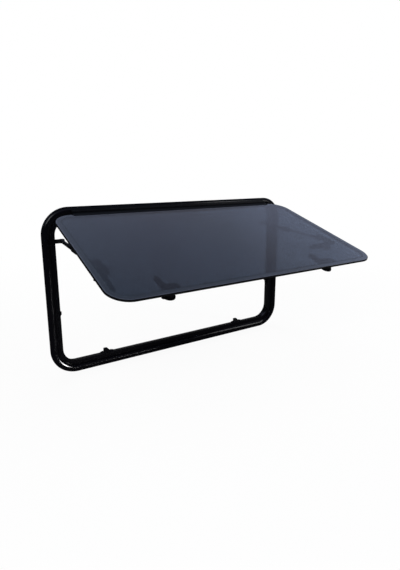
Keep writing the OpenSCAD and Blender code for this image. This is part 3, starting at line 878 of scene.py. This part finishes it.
def makeFloor():
    material, tree = newMaterial("paperFloor")
    place = add(tree, "ShaderNodeTexCoord").outputs["Object"]
    fibre = noise(tree, place, studio["fibre"], 2.0)
    tone = mixTones(tree, fibre, hexColour(studio["floorColour"]), hexColour(studio["fibreColour"]))
    paper = add(tree, "ShaderNodeBsdfDiffuse", {"Color": tone})
    far = add(tree, "ShaderNodeVectorMath", {0: place}, operation="LENGTH").outputs["Value"]
    fade = remap(
        tree, far, (studio["fadeFrom"], studio["fadeTo"]), (studio["floorGlow"], 1.0),
        interpolation_type="SMOOTHSTEP",
    )
    ray = add(tree, "ShaderNodeLightPath").outputs
    mirror = maths(tree, "SUBTRACT", ray["Is Glossy Ray"], ray["Is Transmission Ray"], use_clamp=True)
    level = mixValues(tree, mirror, 1.0, studio["glossFloor"])
    glow = add(tree, "ShaderNodeEmission", {"Color": (1, 1, 1, 1), "Strength": level})
    seen = maths(tree, "MAXIMUM", ray["Is Camera Ray"], ray["Is Glossy Ray"])
    seen = maths(tree, "MAXIMUM", seen, ray["Is Transmission Ray"])
    share = maths(tree, "MULTIPLY", seen, fade)
    mixed = add(tree, "ShaderNodeMixShader", {0: share, 1: paper.outputs[0], 2: glow.outputs[0]})
    under = add(tree, "ShaderNodeNewGeometry").outputs["Backfacing"]  # clear from below, to show the underside
    hollow = add(tree, "ShaderNodeBsdfTransparent")
    mixed = add(tree, "ShaderNodeMixShader", {0: under, 1: mixed.outputs[0], 2: hollow.outputs[0]})
    add(tree, "ShaderNodeOutputMaterial", {"Surface": mixed.outputs[0]})
    return material


floorMesh = bpy.data.meshes.new("floor")
reach, floorLevel = studio["floorReach"], cadBox[0].z - studio["floorBelow"]
corners = [(x * reach, y * reach, floorLevel) for x, y in ((-1, -1), (1, -1), (1, 1), (-1, 1))]
floorMesh.from_pydata(corners, [], [(0, 1, 2, 3)])
floorMesh.materials.append(makeFloor())
floor = placed("floor", floorMesh)


def makeSurround():
    # plain light for the object, a graded room for its gloss, white for the camera and glass
    world = bpy.data.worlds.new("surround")
    bpy.context.scene.world = world
    world.use_nodes = True
    tree = world.node_tree
    tree.nodes.clear()
    way = add(tree, "ShaderNodeSeparateXYZ", {0: add(tree, "ShaderNodeTexCoord").outputs["Generated"]})
    tones = []
    for axis, stops in (("Z", studio["sky"]), ("X", studio["walls"])):
        tone = add(tree, "ShaderNodeValToRGB", {"Fac": way.outputs[axis]})
        marks = tone.color_ramp.elements
        for spare in range(len(stops) - len(marks)):
            marks.new(0.5)
        for mark, (place, code) in zip(marks, stops):
            mark.position, mark.color = place, hexColour(code)
        tones.append(tone.outputs["Color"])
    gloss = mixTones(tree, 1.0, *tones, blend_type="MULTIPLY")
    ray = add(tree, "ShaderNodeLightPath").outputs
    clear = maths(tree, "MAXIMUM", ray["Is Camera Ray"], ray["Is Transmission Ray"])
    plain = [studio["ambient"]] * 3 + [1.0]
    shown = mixTones(tree, clear, mixTones(tree, ray["Is Glossy Ray"], plain, gloss), (1, 1, 1, 1))
    background = add(tree, "ShaderNodeBackground", {"Color": shown, "Strength": 1.0})
    add(tree, "ShaderNodeOutputWorld", {"Surface": background.outputs[0]})


makeSurround()

# Lamps: place, point aimed at, width, height, power in watts
lamps = {
    "softKey": ((-1.5, -1.9, 1.7), (-0.1, 0.0, 0.25), 0.9, 0.9, 26),
    "longStrip": ((1.6, -1.5, 1.1), (0.1, 0.0, 0.2), 0.25, 1.6, 16),
    "backFill": ((0.4, 1.8, 1.5), (0.0, 0.0, 0.3), 1.4, 0.6, 14),
    "cornerLamp": ((0.072, -0.732, 0.03), (-0.468, -0.012, 0.03), 0.35, 0.35, 2.0),
}
cornerSpread = math.radians(22)


def setLamp(name, spot, target, width, height, power):
    lamp = bpy.data.lights.new(name, "AREA")
    lamp.shape, lamp.size, lamp.size_y, lamp.energy = "RECTANGLE", width, height, power
    stand = placed(name, lamp)
    stand.location = spot
    stand.rotation_mode = "QUATERNION"
    stand.rotation_quaternion = (Vector(target) - Vector(spot)).to_track_quat("-Z", "Y")
    return stand


stands = {name: setLamp(name, *setting) for name, setting in lamps.items()}
stands["backFill"].visible_glossy = False  # no rim of light on the top edges, as in the photo

# The corner lamp draws the bright arc in the bead's lower left corner: a narrow
# beam that reaches nothing but the frame's gloss.
beam = stands["cornerLamp"]
beam.data.spread = cornerSpread
beam.visible_diffuse = beam.visible_camera = False
frameOnly = bpy.data.collections.new("cornerLampReaches")
frameOnly.objects.link(bpy.data.objects["frameMoulding"])
beam.light_linking.receiver_collection = frameOnly
beam.light_linking.blocker_collection = frameOnly

# Camera, fitted to the frame's and sash's edges
view = {
    "spot": (-0.816677, -1.403737, 0.671832),
    "tilt": 0.2269856,
    "pan": -0.5767965,
    "lens": 27.3816,
    "shiftY": -0.026897,
}
lens = bpy.data.cameras.new("photoCamera")
lens.lens, lens.sensor_width, lens.shift_x, lens.shift_y = view["lens"], 36.0, 0.0, view["shiftY"]
lens.clip_start, lens.clip_end = 0.05, 100.0
camera = placed("photoCamera", lens)
camera.location = view["spot"]
camera.rotation_euler = (math.pi / 2 - view["tilt"], 0.0, view["pan"])
bpy.context.scene.camera = camera
bpy.context.scene.view_settings.view_transform = "Standard"
print("studio and camera set")
